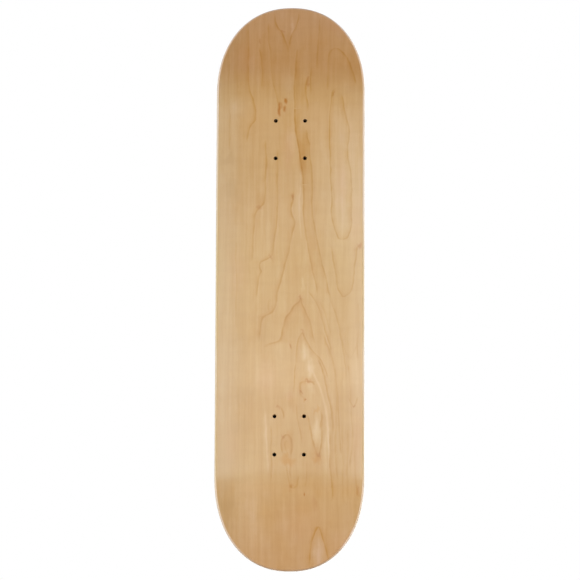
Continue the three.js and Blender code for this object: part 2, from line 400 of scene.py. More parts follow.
class NodeTree:
    """The nodes of a material or a world, with short calls to add them, and the colour mixed so far."""

    def __init__(self, name, of_world=False):
        self.block = (bpy.data.worlds if of_world else bpy.data.materials).new(name)
        self.block.use_nodes = True
        self.nodes = self.block.node_tree.nodes
        self.links = self.block.node_tree.links
        self.nodes.clear()
        self.colour = None
        self.output = self.nodes.new("ShaderNodeOutputWorld" if of_world else "ShaderNodeOutputMaterial")

    def ends_in(self, surface):
        """Makes a node the surface, and returns the material or the world."""
        self.links.new(surface.outputs[0], self.output.inputs["Surface"])
        return self.block

    def put(self, node, socket, value):
        """Links an output to a node's input, or sets the input's own value."""
        if isinstance(value, bpy.types.NodeSocket):
            self.links.new(value, node.inputs[socket])
        else:
            node.inputs[socket].default_value = value

    def node(self, kind, values=None, **settings):
        """Adds a node, sets its properties and fills its inputs."""
        node = self.nodes.new(kind)
        for key, setting in settings.items():
            setattr(node, key, setting)
        for socket, value in (values or {}).items():
            self.put(node, socket, value)
        return node

    def math(self, operation, *values):
        """A math node's result."""
        return self.node("ShaderNodeMath", dict(enumerate(values)), operation=operation).outputs[0]

    def times(self, first, second):
        """Two values multiplied."""
        return self.math("MULTIPLY", first, second)

    def vector(self, operation, *values):
        """A vector math node's result."""
        node = self.node("ShaderNodeVectorMath", dict(enumerate(values)), operation=operation)
        return node.outputs["Value" if operation == "LENGTH" else "Vector"]

    def parts(self, vector):
        """The three parts of a vector."""
        return self.node("ShaderNodeSeparateXYZ", {0: vector}).outputs

    def noise(self, place, stretch, detail=2.0, roughness=0.5, offset=(0, 0, 0), distortion=0.0):
        """Noise from 0 to 1 whose spots have the given lengths along X, Y and Z."""
        moved = self.vector("ADD", place, offset)
        scaled = self.vector("MULTIPLY", moved, tuple(1 / length for length in stretch))
        node = self.node("ShaderNodeTexNoise", {
            "Vector": scaled, "Scale": 1.0, "Detail": detail, "Roughness": roughness,
            "Distortion": distortion})
        return node.outputs["Fac"]

    def ramp(self, value, low, high, out_low=0.0, out_high=1.0, smooth=True):
        """A value mapped from one range to another."""
        node = self.node("ShaderNodeMapRange", {
            "Value": value, "From Min": low, "From Max": high, "To Min": out_low, "To Max": out_high},
            interpolation_type="SMOOTHSTEP" if smooth else "LINEAR")
        return node.outputs["Result"]

    def mix(self, share, first, second):
        """A colour between two colours: inputs 6 and 7 of a mix node, and its output 2."""
        values = {0: share, 6: first, 7: second}
        return self.node("ShaderNodeMix", values, data_type="RGBA", clamp_factor=True).outputs[2]

    def tone(self, share, factors):
        """Moves the colour towards itself times three factors."""
        self.colour = self.mix(share, self.colour, self.vector("MULTIPLY", self.colour, factors))

    def finish(self, roughness, coat, coat_roughness, felt=None, depth=0.0):
        """The material: the colour under a clear coat, with a pattern that is felt to a depth."""
        surface = self.node("ShaderNodeBsdfPrincipled", {
            "Base Color": self.colour, "Roughness": roughness, "Coat Weight": coat,
            "Coat Roughness": coat_roughness, "Coat IOR": LACQUER_IOR})
        if felt is not None:
            bump = self.node("ShaderNodeBump", {"Height": felt, "Strength": depth, "Distance": FIBRE_DEPTH})
            self.put(surface, "Normal", bump.outputs[0])
        return self.ends_in(surface)


# The figure of the underside, read off the photograph. Places are mm along the face from the middle,
# towards the nose, and mm across it. A growth line has a width, how far its tone fades and to which side,
# its strength in percent, and its points; two lines that share an end run into each other.
DARK_LINES = [
    (1.7, -6, 60, (413, -24.5), (403, -23.5), (393, -22), (384, -18.5), (379, -14), (371, -11), (361, -8),
     (351, -4.5), (344, -3)),
    (1.6, 5, 48, (415, 10.5), (406, 10), (396, 8.5), (386, 6), (376, 1.5), (364, -1.5), (351, -3.5)),
    (1.7, 8, 36, (405, 40.5), (379, 39.5), (361, 38.5), (339, 37.5), (317, 36.5)),
    (1.8, 10, 50, (353, 9), (337, 8), (317, 7), (298, 5.5), (275, 5.5), (256, 6)),
    (2.0, 14, 95, (256, 6), (230, 7), (214, 9), (201, 12), (181, 14.5), (163, 17), (146, 19)),
    (1.8, 13, 58, (146, 19), (126, 19), (109, 19), (87, 21), (66, 24), (41, 28.5), (23, 32), (7, 35.5),
     (-11, 39)),
    (1.7, -9, 64, (227, 22), (214, 24), (202, 27), (181, 28.5), (156, 31), (135, 31), (112, 30.5), (93, 33),
     (76, 36), (57, 40), (36, 44.5), (19, 48.5), (0, 53), (-17, 57)),
    (1.6, -4, 60, (304, 23.5), (289, 22), (276, 21.5), (266, 24), (250, 24.5)),
    (1.4, 4, 48, (321, 29), (304, 28), (292, 28), (275, 29)),
    (1.7, 5, 40, (353, 64.5), (350, 59), (343, 55), (328, 53.5), (306, 52.5), (283, 52)),
    (1.8, -6, 60, (353, 64.5), (349, 70), (340, 77.5), (329, 83), (318, 86), (307, 89.5), (293, 93)),
    (1.7, 8, 64, (288, 66.5), (283, 60.5), (275, 58), (262, 57), (244, 55.5), (220, 55), (192, 56), (161, 57),
     (128, 58.5), (105, 58.5), (90, 61), (76, 65), (69, 69), (67, 74)),
    (1.7, -8, 56, (280, 72), (261, 75.5), (245, 78.5), (232, 82), (219, 83), (199, 81), (184, 82), (167, 85),
     (147, 86.5), (124, 86.5), (107, 86), (93, 86.5), (78, 83.5), (70, 79.5), (67, 74)),
    (1.7, -6, 48, (388, -61.5), (357, -60.5), (322, -60.5), (292, -59.5), (278, -56.5), (268, -52.5),
     (256, -50), (245, -49.5), (238, -51), (232, -55.5), (224, -59), (207, -61)),
    (1.7, 5, 40, (354, -46), (339, -42.5), (319, -40.5), (301, -40.5), (283, -41)),
    (1.6, 5, 32, (395, -33.5), (366, -32), (343, -29), (321, -28), (308, -26.5), (293, -24.5), (277, -20.5),
     (263, -18), (247, -17.5)),
    (2.0, -7, 64, (210, -35), (192, -34.5), (177, -33.5), (164, -34.5), (151, -35.5), (138, -34.5),
     (128, -35.5), (118, -38), (113, -43), (106, -48), (98, -50), (86, -51), (72, -52), (55, -52.5),
     (35, -54)),
    (1.8, -7, 64, (198, -17.5), (176, -18), (149, -18), (123, -18), (103, -18), (86, -19.5), (66, -22.5),
     (52, -23.5), (44, -26), (40, -31.5), (37, -37.5), (34, -42), (27, -42.5), (22, -40.5), (16, -43),
     (3, -45), (-17, -46.5)),
    (2.0, -8, 72, (138, 4), (125, 4), (116, 1.5), (109, 1), (100, 3.5), (93, 6.5), (84, 5), (74, 2), (63, 0),
     (52, -1), (42, -4), (32, -7.5), (22, -9), (12, -12), (1, -14.5), (-8, -17.5), (-21, -19), (-31, -22),
     (-37, -26), (-40, -31), (-43, -36.5), (-50, -39.5), (-62, -41), (-77, -43)),
    (1.7, 7, 56, (59, 57.5), (46, 60), (32, 62), (16, 65), (0, 67), (-8, 70.5), (-15, 75.5)),
    (1.8, -7, 64, (63, 98.5), (56, 94.5), (44, 93), (33, 91), (17, 89.5), (1, 88), (-7, 85), (-11, 80.5),
     (-15, 75.5)),
    (2.1, 9, 80, (-16, 15), (-21, 13), (-28, 6), (-36, 1), (-45, -5), (-55, -8), (-64, -10), (-72, -11.5),
     (-78, -15.5), (-80, -22), (-82, -28.5), (-87, -34.5)),
    (1.8, -9, 68, (-16, 15), (-24, 17), (-34, 21.5), (-44, 26), (-55, 29), (-68, 32.5), (-82, 36)),
    (1.6, 6, 52, (-4, 24.5), (-10, 29), (-17, 34), (-25, 38.5), (-37, 43), (-51, 46.5), (-67, 51), (-81, 56),
     (-98, 58.5), (-113, 61.5), (-136, 64.5)),
    (1.6, 6, 56, (-65, 18), (-71, 14), (-80, 11.5), (-91, 10), (-104, 9), (-119, 7.5), (-135, 7),
     (-152, 5.5)),
    (1.6, -6, 56, (-65, 18), (-73, 21.5), (-80, 25.5), (-88, 30), (-96, 36.5), (-102, 42), (-109, 46),
     (-118, 50), (-133, 54.5)),
    (2.0, 6, 64, (-100, 38), (-116, 45), (-135, 50), (-153, 54), (-170, 57.5), (-188, 60), (-207, 61)),
    (2.0, 3, 56, (-134, 22.5), (-136, 17), (-141, 15), (-148, 15.5), (-155, 16.5), (-158, 20), (-160, 24.5)),
    (2.0, 2, 48, (-134, 22.5), (-135, 29), (-137, 33), (-141, 34.5)),
    (1.8, 3, 72, (-168, -13.5), (-172, -11.5), (-178, -9), (-189, -8)),
    (1.6, 4, 40, (-165, 9), (-179, 11), (-194, 13), (-210, 16), (-224, 17)),
    (2.0, 4, 80, (-174, 36.5), (-175, 41.5), (-178, 44.5), (-186, 45.5), (-196, 44), (-206, 43)),
    (1.8, 0, 64, (-156, 82.5), (-164, 86), (-171, 90)),
    (1.8, 0, 64, (-155, 95), (-164, 93), (-171, 90)),
    (1.6, 0, 32, (-74, 73), (-90, 77.5), (-102, 84)),
    (1.6, 0, 32, (-73, 94), (-90, 91.5), (-102, 84)),
    (1.7, 3, 56, (-196, -26), (-218, -25), (-235, -25.5), (-255, -25), (-276, -25.5)),
    (2.1, 4, 80, (-209, -3), (-213, -7.5), (-220, -10.5), (-228, -10.5), (-238, -9.5)),
    (2.1, -4, 76, (-209, -3), (-214, 1.5), (-223, 4), (-232, 3.5), (-242, 2)),
    (1.7, 0, 68, (-217, -2), (-221, -5), (-228, -5.5), (-235, -3.5)),
    (1.7, 4, 44, (-248, -3.5), (-262, -3), (-274, -1), (-282, 2), (-286, 5.5)),
    (1.7, -4, 36, (-265, 13), (-274, 12), (-283, 9.5), (-286, 5.5)),
    (1.6, 0, 48, (-244, 25.5), (-258, 25), (-272, 24.5), (-286, 22)),
    (2.0, -6, 76, (-179, 25), (-191, 27.5), (-204, 30), (-218, 33), (-231, 36.5), (-242, 40.5)),
    (1.8, 5, 76, (-187, 46), (-204, 45.5), (-221, 44.5), (-232, 43), (-242, 40.5)),
    (1.8, 6, 60, (-207, 57.5), (-232, 56.5), (-253, 57), (-272, 59), (-288, 60.5), (-305, 59.5)),
    (1.7, -6, 64, (-339, 40.5), (-347, 36), (-357, 32), (-371, 29.5), (-386, 28), (-399, 27.5)),
    (1.7, 6, 56, (-339, 40.5), (-347, 43.5), (-358, 47), (-369, 50), (-381, 53), (-392, 56.5)),
    (2.1, 4, 32, (-190, 73.5), (-218, 74.5), (-249, 75), (-280, 74.5), (-310, 76)),
    (2.1, -4, 32, (-201, 81.5), (-232, 82), (-267, 81), (-303, 82.5)),
    (2.0, 5, 32, (-217, 90.5), (-249, 91), (-275, 93.5), (-304, 95.5)),
    (1.8, 6, 40, (-17, 56.5), (-31, 61.5), (-48, 67), (-68, 71.5), (-88, 74.5), (-110, 78), (-133, 79)),
    (1.8, -5, 48, (-63, 46), (-80, 51.5), (-97, 58), (-123, 64), (-152, 67), (-180, 69), (-215, 71),
     (-240, 73)),
    (2.0, 6, 40, (-106, 81), (-140, 84.5), (-172, 86), (-203, 88), (-232, 87), (-257, 83.5)),
    (1.8, 5, 40, (-139, 65), (-164, 66), (-197, 65.5), (-225, 64), (-250, 65.5), (-274, 67.5)),
    (1.7, 5, 32, (-20, 42), (-37, 49), (-57, 54.5), (-74, 59.5)),
    (1.7, -4, 32, (-19, 96), (-47, 97), (-76, 95.5), (-107, 96.5)),
    (1.8, 3, 48, (-248, 1.5), (-255, 2), (-263, 1), (-272, 3)),
    (2.0, 5, 28, (67, -75.5), (35, -76), (2, -74.5), (-33, -76), (-62, -74.5)),
    (2.0, -5, 28, (334, -87.5), (285, -88), (240, -86), (196, -86.5)),
    (1.7, 5, 32, (-17, -29), (-28, -30), (-37, -29)),
]

LIGHT_LINES = [
    (2.5, 0, 100, (-117, 31.5), (-128, 36), (-141, 42), (-155, 46.5), (-172, 50.5), (-189, 53), (-208, 54),
     (-229, 55), (-252, 56.5)),
    (2.2, 0, 80, (-173, -34.5), (-190, -33), (-221, -31.5), (-242, -30.5), (-266, -29.5)),
    (2.1, 0, 50, (-206, 50.5), (-227, 50), (-249, 51.5), (-269, 52)),
    (2.0, 0, 60, (169, 13.5), (143, 14.5), (117, 13), (92, 14), (66, 17)),
    (1.7, 0, 50, (-159, 59.5), (-179, 62.5), (-201, 63)),
]

# Soft patches in the order in which they are laid: what a kind does to the wood's colour, and for each patch
# its place, half its length and half its width in mm, and its strength in percent
PATCHES = {
    "pale": ((1.09, 1.175, 1.4), [
        (150, 80.5, 119.5, 46.5, 100), (244, -102, 106.5, 31, 80), (-310, -61, 102, 31, 50),
        (-97, 21, 14, 6.5, 40), (-118, 30.5, 13, 6.5, 60), (-204, 38, 21.5, 5, 40),
        (-228, 51.5, 48.5, 6.5, 30), (-375, 40, 20, 7, 40), (-156, 32.5, 17, 5, 50),
    ]),
    "pink": ((1.03, 0.985, 1.08), [
        (21, -75, 37, 17, 60), (390, 77, 17, 31, 50), (-154, 1, 8.5, 8.5, 60), (-217, 95, 42.5, 8.5, 50),
        (88, 92, 42.5, 8.5, 45), (-133, -32, 25.5, 17, 50), (-331, 15.5, 37, 34, 40),
        (335, -67.5, 28.5, 19.5, 40), (-367, 71.5, 22.5, 22.5, 30), (195, -2.5, 34, 10, 60),
        (152, 72.5, 42.5, 11.5, 50), (-225, -79.5, 34, 14, 40),
    ]),
    "brown": ((0.9, 0.885, 0.83), [
        (-150, -64, 17, 22.5, 65), (-116, -74.5, 48.5, 36.5, 40), (182, -86, 10, 14, 60),
        (139, -83, 17, 12.5, 50), (-312, -84, 17, 11.5, 35), (-83, -74.5, 14, 22.5, 35),
        (-197, -68, 13, 19.5, 35), (312, 77.5, 11.5, 19.5, 20), (324, -77.5, 14, 14, 20),
        (155, -53, 28.5, 11.5, 30), (-70, -38, 17, 10, 40),
    ]),
    "tan": ((0.93, 0.84, 0.6), [
        (282, 15.5, 28.5, 7, 30), (192, 19.5, 37, 8.5, 80), (43, 30.5, 34, 6.5, 65), (-258, 41, 37, 42.5, 45),
        (-243, 88.5, 88, 19.5, 40), (-48, 1, 20, 19.5, 40), (-165, 1.5, 13, 12.5, 50),
        (-133, 67, 37, 8.5, 30), (-310, 21.5, 20, 11.5, 35), (328, -40.5, 31, 7, 35), (-218, -1, 17, 10, 50),
        (-6, 5, 85, 12.5, 35), (123, -41.5, 13, 8.5, 50), (-41, 23.5, 28.5, 8.5, 40),
        (-19, 78, 28.5, 12.5, 20),
    ]),
    "orange": ((0.955, 0.815, 0.47), [
        (-246, -1.5, 8.5, 12, 115), (-243, 38.5, 10.5, 7.5, 110), (-225, -2.5, 15.5, 8.5, 40),
        (-134, 24, 5, 10.5, 45), (-145, 13.5, 10, 4, 35), (-163, 22, 3.5, 3, 80), (-175, 39.5, 3.5, 7, 60),
        (-280, 6, 8.5, 8.5, 15),
    ]),
    "light": ((1.075, 1.155, 1.42), [
        (301, -6, 25.5, 10, 40), (211, 1, 20, 5, 70), (128, 13, 48.5, 4, 50), (3, 18.5, 11.5, 2, 100),
        (-94, 22, 13, 6.5, 90), (-114, 28.5, 13, 7, 100), (-206, 38, 24, 5, 100), (-228, 51.5, 48.5, 6, 60),
        (116, 72.5, 48.5, 11.5, 35), (-128, -35, 28.5, 14, 35), (-374, 40.5, 21.5, 8.5, 80),
        (389, 1, 14, 3, 90), (258, -78, 18.5, 18.5, 35), (-159, 57.5, 20, 3.5, 50), (-215, 47, 28.5, 2.5, 50),
        (-218, -32.5, 48.5, 4, 50), (225, 76.5, 31, 11.5, 25), (-20, -55, 42.5, 14, 15),
        (-145, 31, 11.5, 5.5, 50),
    ]),
}
FLECKS = [
    (268, -6.5, 5.5, 2.5, 100), (256, -8.5, 5, 3, 90), (254, -16.5, 7.5, 2.5, 100), (260, -13.5, 3.5, 2, 50),
    (363, -44.5, 5, 2.5, 40), (-85, 1, 6.5, 2, 80), (-18, 14.5, 3.5, 3.5, 70), (62, 98, 5, 3, 60),
    (-163, 23, 2.5, 2.5, 90), (42, -27.5, 2.5, 4, 40), (-292, 96.5, 8.5, 3, 40), (-291, 21, 3.5, 1.5, 120),
    (130, 4, 6, 2, 60), (-308, 36.5, 10, 5, 20), (379, -13.5, 3, 4, 40), (296, 24.5, 5.5, 2, 50),
    (281, 60.5, 3, 3, 50), (113, -44.5, 4, 5, 40), (-153, 16, 3, 2.5, 70), (-173, -15.5, 3.5, 3.5, 50),
    (-135, 27, 2.5, 5, 60), (-239, 43, 5.5, 2, 50), (-213, -8, 3.5, 3, 40), (-283, 3, 3.5, 3.5, 40),
    (-170, 90, 3, 2.5, 60), (-65, 18, 2.5, 3, 40),
]


FIGURE_REACH = 110 * MM  # the line curves give places across the board as shares of this
LINE_ENDS = [end for _, _, _, first, *_, last in DARK_LINES + LIGHT_LINES for end in (first, last)]
FREE_END, JOINED_END = 9 * MM, 1.2 * MM  # how far a line fades at an end of its own and where two meet
PATCH_FULL, PATCH_GONE = 0.15, 1.35  # shares of a patch's half size between which it fades
HEIGHT_LEFT = 0.2  # of the height in the places that the face veneers' grain follows
WANDER_WAVES = (60, 110, 0)  # in a metre along and across, of the noise that shifts the lines and patches
LINE_WANDER = (0, 3.2 * MM, 0)  # how far it shifts them, from one side to the other
PATCH_WANDER = (30 * MM, 9 * MM, 0)


def line_curve(curve, places, values):
    """Fills one curve of a curves node."""
    points = list(zip(places, values))
    curve.points[0].location = points[0]
    curve.points[1].location = points[-1]
    for point in points[1:-1]:
        curve.points.new(*point)


def traced_line(tree, along, across, width, fade, percent, *points):
    """One growth line: how strong its edge is, and the tone that fades away from it."""
    points = sorted(points)
    x, y = MM * np.transpose(points)
    share = 2 * (x - x[0]) / (x[-1] - x[0]) - 1
    lengths = [JOINED_END if LINE_ENDS.count(end) > 1 else FREE_END for end in (points[0], points[-1])]
    fades = [min(2 * length / (x[-1] - x[0]), 0.5) for length in lengths]
    run = tree.ramp(along, x[0], x[-1], -1, 1, smooth=False)
    node = tree.node("ShaderNodeVectorCurve", {"Vector": run})
    curves = node.mapping.curves
    line_curve(curves[0], share, y / FIGURE_REACH)
    line_curve(curves[1], share, 1 / np.hypot(1, np.gradient(y, x)))
    line_curve(curves[2], [-1, fades[0] - 1, 1 - fades[1], 1], [0, 1, 1, 0])
    for point in curves[2].points:
        point.handle_type = "VECTOR"
    node.mapping.update()
    place, slant, seen = tree.parts(node.outputs[0])
    away = tree.times(tree.math("SUBTRACT", across, place), slant)
    thin = width * MM / FIGURE_REACH
    strong = tree.times(seen, percent / 100)
    edge = tree.times(tree.ramp(tree.math("ABSOLUTE", away), thin, 0.0), strong)
    if fade == 0:
        return edge, 0.0
    wide = abs(fade) * MM / FIGURE_REACH
    out = tree.times(away, math.copysign(1 / wide, fade))
    back = tree.times(away, math.copysign(1 / thin, -fade))
    tone = tree.ramp(tree.math("MAXIMUM", out, back), 1.0, 0.0)
    return edge, tree.times(tone, strong)


def most(tree, values):
    """The largest of several values."""
    result = values[0]
    for value in values[1:]:
        result = tree.math("MAXIMUM", result, value)
    return result


def patches(tree, place, rows):
    """How strong the strongest of some soft ovals is at a place."""
    found = []
    for x, y, half_length, half_width, percent in rows:
        away = tree.vector("SUBTRACT", place, (x * MM, y * MM, 0))
        scaled = tree.vector("MULTIPLY", away, (1 / (half_length * MM), 1 / (half_width * MM), 0))
        found.append(tree.ramp(tree.vector("LENGTH", scaled), PATCH_GONE, PATCH_FULL, 0.0, percent / 100))
    return most(tree, found)


def board_place(tree):
    """The place in the board: along its face, across it and up through it."""
    return tree.node("ShaderNodeAttribute", attribute_name=BOARD_PLACE).outputs["Vector"]


def flat_place(tree):
    """The board place with little of the height, so that the grain goes straight through a face veneer."""
    return tree.vector("MULTIPLY", board_place(tree), (1, 1, HEIGHT_LEFT))


def facing(tree, axis):
    """How far a surface faces along X (0) or Y (1), to either side."""
    normal = tree.parts(tree.node("ShaderNodeNewGeometry").outputs["Normal"])
    return tree.math("ABSOLUTE", normal[axis])


# What being cut does to the wood's colour; the pale sides are partly a painted highlight
CUT_SIDE_AND_HIGHLIGHT_TONE, END_GRAIN_TONE = (1.36, 1.7, 2.7), (0.72, 0.66, 0.55)


def cut_edge_and_highlight(tree, flat_height):
    """Tones a face veneer where the rail is sanded through it: pale sides, partly painted highlight, dark
    tips.
    """
    from_face = tree.math("PINGPONG", tree.math("DIVIDE", flat_height, HEIGHT_LEFT), THICKNESS / 2)
    cut = tree.ramp(from_face, 0.02 * MM, 0.2 * MM)
    side = tree.ramp(facing(tree, 1), 0.15, 0.5)
    end_grain = tree.ramp(facing(tree, 0), 0.4, 0.8)
    # The pale sides of the rail are partly a painted highlight, standing in for the lacquer's reflection
    # there
    tree.tone(tree.times(cut, side), CUT_SIDE_AND_HIGHLIGHT_TONE)
    tree.tone(tree.times(cut, end_grain), END_GRAIN_TONE)


def fibre_tones(tree, place):
    """Adds the fine structure of the maple faces: streaks, fibres, clouds, painted sheen bands and pores."""
    streaks = tree.noise(place, (0.13, 0.006, 0.02))
    tree.tone(tree.ramp(streaks, 0.42, 0.68), (0.965, 0.94, 0.88))
    tree.tone(tree.ramp(streaks, 0.46, 0.3), (1.022, 1.042, 1.1))
    fibres = tree.noise(place, (0.03, 0.0008, 0.01), roughness=0.7, offset=(0.3, 0.1, 0))
    tree.tone(tree.ramp(fibres, 0.4, 0.72), (0.977, 0.963, 0.935))
    clouds = tree.noise(place, (0.045, 0.022, 0.02), detail=3.0, roughness=0.6, offset=(0.6, 0.9, 0))
    tree.tone(tree.ramp(clouds, 0.5, 0.7), (1.018, 1.04, 1.12))
    tree.tone(tree.ramp(clouds, 0.48, 0.3), (0.982, 0.957, 0.89))
    # Faint bands across the grain: a painted sheen
    bands = tree.noise(place, (0.011, 0.045, 0.02), detail=1.0, offset=(0.1, 0.7, 0), distortion=0.4)
    tree.tone(tree.ramp(bands, 0.4, 0.7), (0.98, 0.975, 0.965))
    pores = tree.noise(place, (0.0035, 0.00045, 0.01), detail=1.0, offset=(0.5, 0.2, 0))
    tree.tone(tree.ramp(pores, 0.66, 0.76), (0.9, 0.86, 0.78))
    return streaks, fibres


def face_veneer(tree, flat_height, fibres):
    """A face veneer's material: satin clear lacquer, with the fibres just felt through it."""
    cut_edge_and_highlight(tree, flat_height)
    return tree.finish(roughness=0.3, coat=1.0, coat_roughness=0.2, felt=fibres, depth=0.12)


# What the flecks, lines, sides and fine rings do to the wood's colour; the sides hold painted shade and light
FLECK_TONE = (0.79, 0.53, 0.24)
DARK_LINE_TONE, FADING_TONE, LIGHT_LINE_TONE = (0.88, 0.78, 0.48), (0.935, 0.85, 0.63), (1.09, 1.165, 1.48)
LEFT_SIDE_TONE_AND_SHADE, RIGHT_SIDE_TONE_AND_LIGHT, RING_TONE = (0.885, 0.9, 0.9), (1.02, 1.035, 1.06), (0.982, 0.978, 0.965)
FINE_RINGS = 1340  # radians per metre across the board

# The wood's colour from tail to nose: mm along the face, and colours. They were worked out from the photo's
# smoothed colours less the lacquer's veil, then corrected, and may hold some of its light.
WOOD_TONES = [
    (-405, (0.568, 0.332, 0.154)), (-290, (0.585, 0.36, 0.164)), (-262, (0.522, 0.315, 0.118)),
    (-240, (0.51, 0.305, 0.107)), (-165, (0.526, 0.316, 0.116)), (-125, (0.565, 0.354, 0.145)),
    (-60, (0.527, 0.32, 0.113)), (20, (0.531, 0.328, 0.116)), (130, (0.542, 0.334, 0.135)),
    (265, (0.574, 0.352, 0.151)), (330, (0.553, 0.304, 0.123)), (410, (0.577, 0.327, 0.155)),
]


def wood_tone(tree, along):
    """The slow change of the wood's colour along the board."""
    low, high = WOOD_TONES[0][0], WOOD_TONES[-1][0]
    node = tree.node("ShaderNodeValToRGB", {0: tree.ramp(along, low * MM, high * MM, smooth=False)})
    elements = node.color_ramp.elements
    while len(elements) < len(WOOD_TONES):
        elements.new(0.5)
    for element, (x, _) in zip(elements, WOOD_TONES):
        element.position = (x - low) / (high - low)
    for element, (_, colour) in zip(elements, WOOD_TONES):
        element.color = (*colour, 1)
    node.color_ramp.interpolation = "EASE"
    return node.outputs[0]


def growth_lines(tree, place, lines):
    """How strong some of the growth lines are at a place, and the tones beside them."""
    along, across, _ = tree.parts(place)
    across = tree.math("DIVIDE", across, FIGURE_REACH)
    edges, tones = zip(*[traced_line(tree, along, across, *line) for line in lines])
    return most(tree, edges), most(tree, tones)


def underside_maple(name):
    """The face veneer of the underside, with the growth lines, patches and flecks of the real one."""
    tree = NodeTree(name)
    place = flat_place(tree)
    wobble = tree.node("ShaderNodeTexNoise", {
        "Vector": tree.vector("MULTIPLY", place, WANDER_WAVES), "Scale": 1.0, "Detail": 2.0})
    shift = tree.vector("SUBTRACT", wobble.outputs["Color"], (0.5, 0.5, 0.5))
    drawn = tree.vector("ADD", place, tree.vector("MULTIPLY", shift, LINE_WANDER))
    blurred = tree.vector("ADD", place, tree.vector("MULTIPLY", shift, PATCH_WANDER))
    along, across, height = tree.parts(drawn)
    dark, tone = growth_lines(tree, drawn, DARK_LINES)
    light, _ = growth_lines(tree, drawn, LIGHT_LINES)
    uneven = tree.noise(place, (0.018, 0.009, 0.02), offset=(0.9, 0.4, 0))
    strong = tree.ramp(uneven, 0.3, 0.7, 0.55, 1.25)

    tree.colour = wood_tone(tree, along)
    # Darker left side and lighter right side: the wood's tone with painted shade and painted light, as light
    # falls
    tree.tone(tree.ramp(across, -0.045, -0.1), LEFT_SIDE_TONE_AND_SHADE)
    tree.tone(tree.ramp(across, 0.03, 0.09), RIGHT_SIDE_TONE_AND_LIGHT)
    for factors, rows in PATCHES.values():
        tree.tone(patches(tree, blurred, rows), factors)
    streaks, fibres = fibre_tones(tree, drawn)
    turned = tree.times(across, FINE_RINGS)
    rings = tree.math("SINE", tree.math("MULTIPLY_ADD", streaks, 5, turned))
    ringed = tree.times(tree.ramp(rings, -0.2, 1.0), tree.ramp(across, -0.01, -0.045))
    tree.tone(ringed, RING_TONE)
    tree.tone(tree.times(tone, strong), FADING_TONE)
    tree.tone(tree.times(dark, strong), DARK_LINE_TONE)
    tree.tone(light, LIGHT_LINE_TONE)
    tree.tone(patches(tree, blurred, FLECKS), FLECK_TONE)
    return face_veneer(tree, height, fibres)


# The arches of growth rings on the standing face
ARCH_WIDTH = 17 * MM  # from the middle of the board to the first ring
ARCH_POWER = 1.25
RING_LENGTH = 105 * MM  # from the point of one arch to that of the next
ARCH_WANDER = 16 * MM  # of the arches' middle, to each side
RING_WANDER = 2.2  # rings, under the same noise


def standing_maple(name):
    """The face veneer of the standing face, with arches of growth rings down its middle."""
    tree = NodeTree(name)
    place = flat_place(tree)
    along, across, height = tree.parts(place)
    bend = tree.noise(place, (0.22, 0.055, 0.02), offset=(0.2, 0.6, 0), distortion=0.3)
    off_centre = tree.math("ADD", across, tree.ramp(bend, 0.3, 0.7, -ARCH_WANDER, ARCH_WANDER))
    arch = tree.math("ABSOLUTE", tree.math("DIVIDE", off_centre, ARCH_WIDTH))
    forward = tree.math("DIVIDE", along, RING_LENGTH)
    rings = tree.math("SUBTRACT", tree.math("POWER", arch, ARCH_POWER), forward)
    phase = tree.math("FRACT", tree.math("ADD", rings, tree.times(bend, RING_WANDER)))
    late = tree.times(tree.ramp(phase, 0.35, 0.93), tree.ramp(phase, 1.0, 0.95))
    slow = tree.noise(place, (0.3, 0.05, 0.05), detail=1.0)
    tree.colour = tree.mix(slow, (0.585, 0.355, 0.15, 1), (0.52, 0.3, 0.112, 1))
    _, fibres = fibre_tones(tree, place)
    tree.tone(tree.times(late, 0.85), (0.85, 0.74, 0.52))
    return face_veneer(tree, height, fibres)


def edge_wood(name, light, dark, grain):
    """A veneer whose edge and hole walls show: long fibres where it is cut along them, pores where across."""
    tree = NodeTree(name)
    place = board_place(tree)
    end_grain = tree.ramp(facing(tree, 0 if grain == "along" else 1), 0.35, 0.8)
    long_size = (0.03, 0.0004, 0.0003) if grain == "along" else (0.0004, 0.03, 0.0003)
    fibres = tree.noise(place, long_size, detail=3.0, roughness=0.65)
    pores = tree.noise(place, (0.0004, 0.0004, 0.0004), roughness=0.6, offset=(0.3, 0.2, 0.1))
    tones = tree.noise(place, (0.03, 0.03, 0.004), detail=1.0, offset=(0.7, 0.1, 0))
    tree.colour = tree.mix(tree.ramp(fibres, 0.3, 0.7), light, dark)
    open_pores = tree.times(end_grain, tree.ramp(pores, 0.5, 0.68))
    tree.tone(tree.times(end_grain, 0.8), END_GRAIN_TONE)
    tree.tone(open_pores, (0.66, 0.58, 0.5))
    tree.tone(tree.ramp(tones, 0.35, 0.65), (0.94, 0.93, 0.9))
    return tree.finish(roughness=0.42, coat=0.6, coat_roughness=0.25, felt=fibres, depth=0.2)


def glue(name):
    """Hardened resin, of which only a hair's breadth shows between two veneers."""
    tree = NodeTree(name)
    place = board_place(tree)
    runs = tree.noise(place, (0.02, 0.02, 0.001), detail=3.0, roughness=0.6)
    tree.colour = tree.mix(tree.ramp(runs, 0.3, 0.7), (0.2, 0.105, 0.04, 1), (0.11, 0.052, 0.02, 1))
    return tree.finish(roughness=0.35, coat=0.6, coat_roughness=0.2)


MATERIALS = {
    "bottom_face_veneer": underside_maple("underside_maple"),
    "top_face_veneer": standing_maple("standing_maple"),
    "maple_core": edge_wood("core_maple", (0.76, 0.6, 0.42, 1), (0.66, 0.49, 0.31, 1), "along"),
    "maple_cross": edge_wood("cross_maple", (0.56, 0.345, 0.165, 1), (0.46, 0.27, 0.12, 1), "across"),
    "glue": glue("resin"),
}
SLOTS = {part["node"]: part["material_slot"] for part in frame["record"]["subparts"]}


def add_object(name, data):
    """Puts an object in the scene."""
    added = bpy.data.objects.new(name, data)
    bpy.context.scene.collection.objects.link(added)
    return added


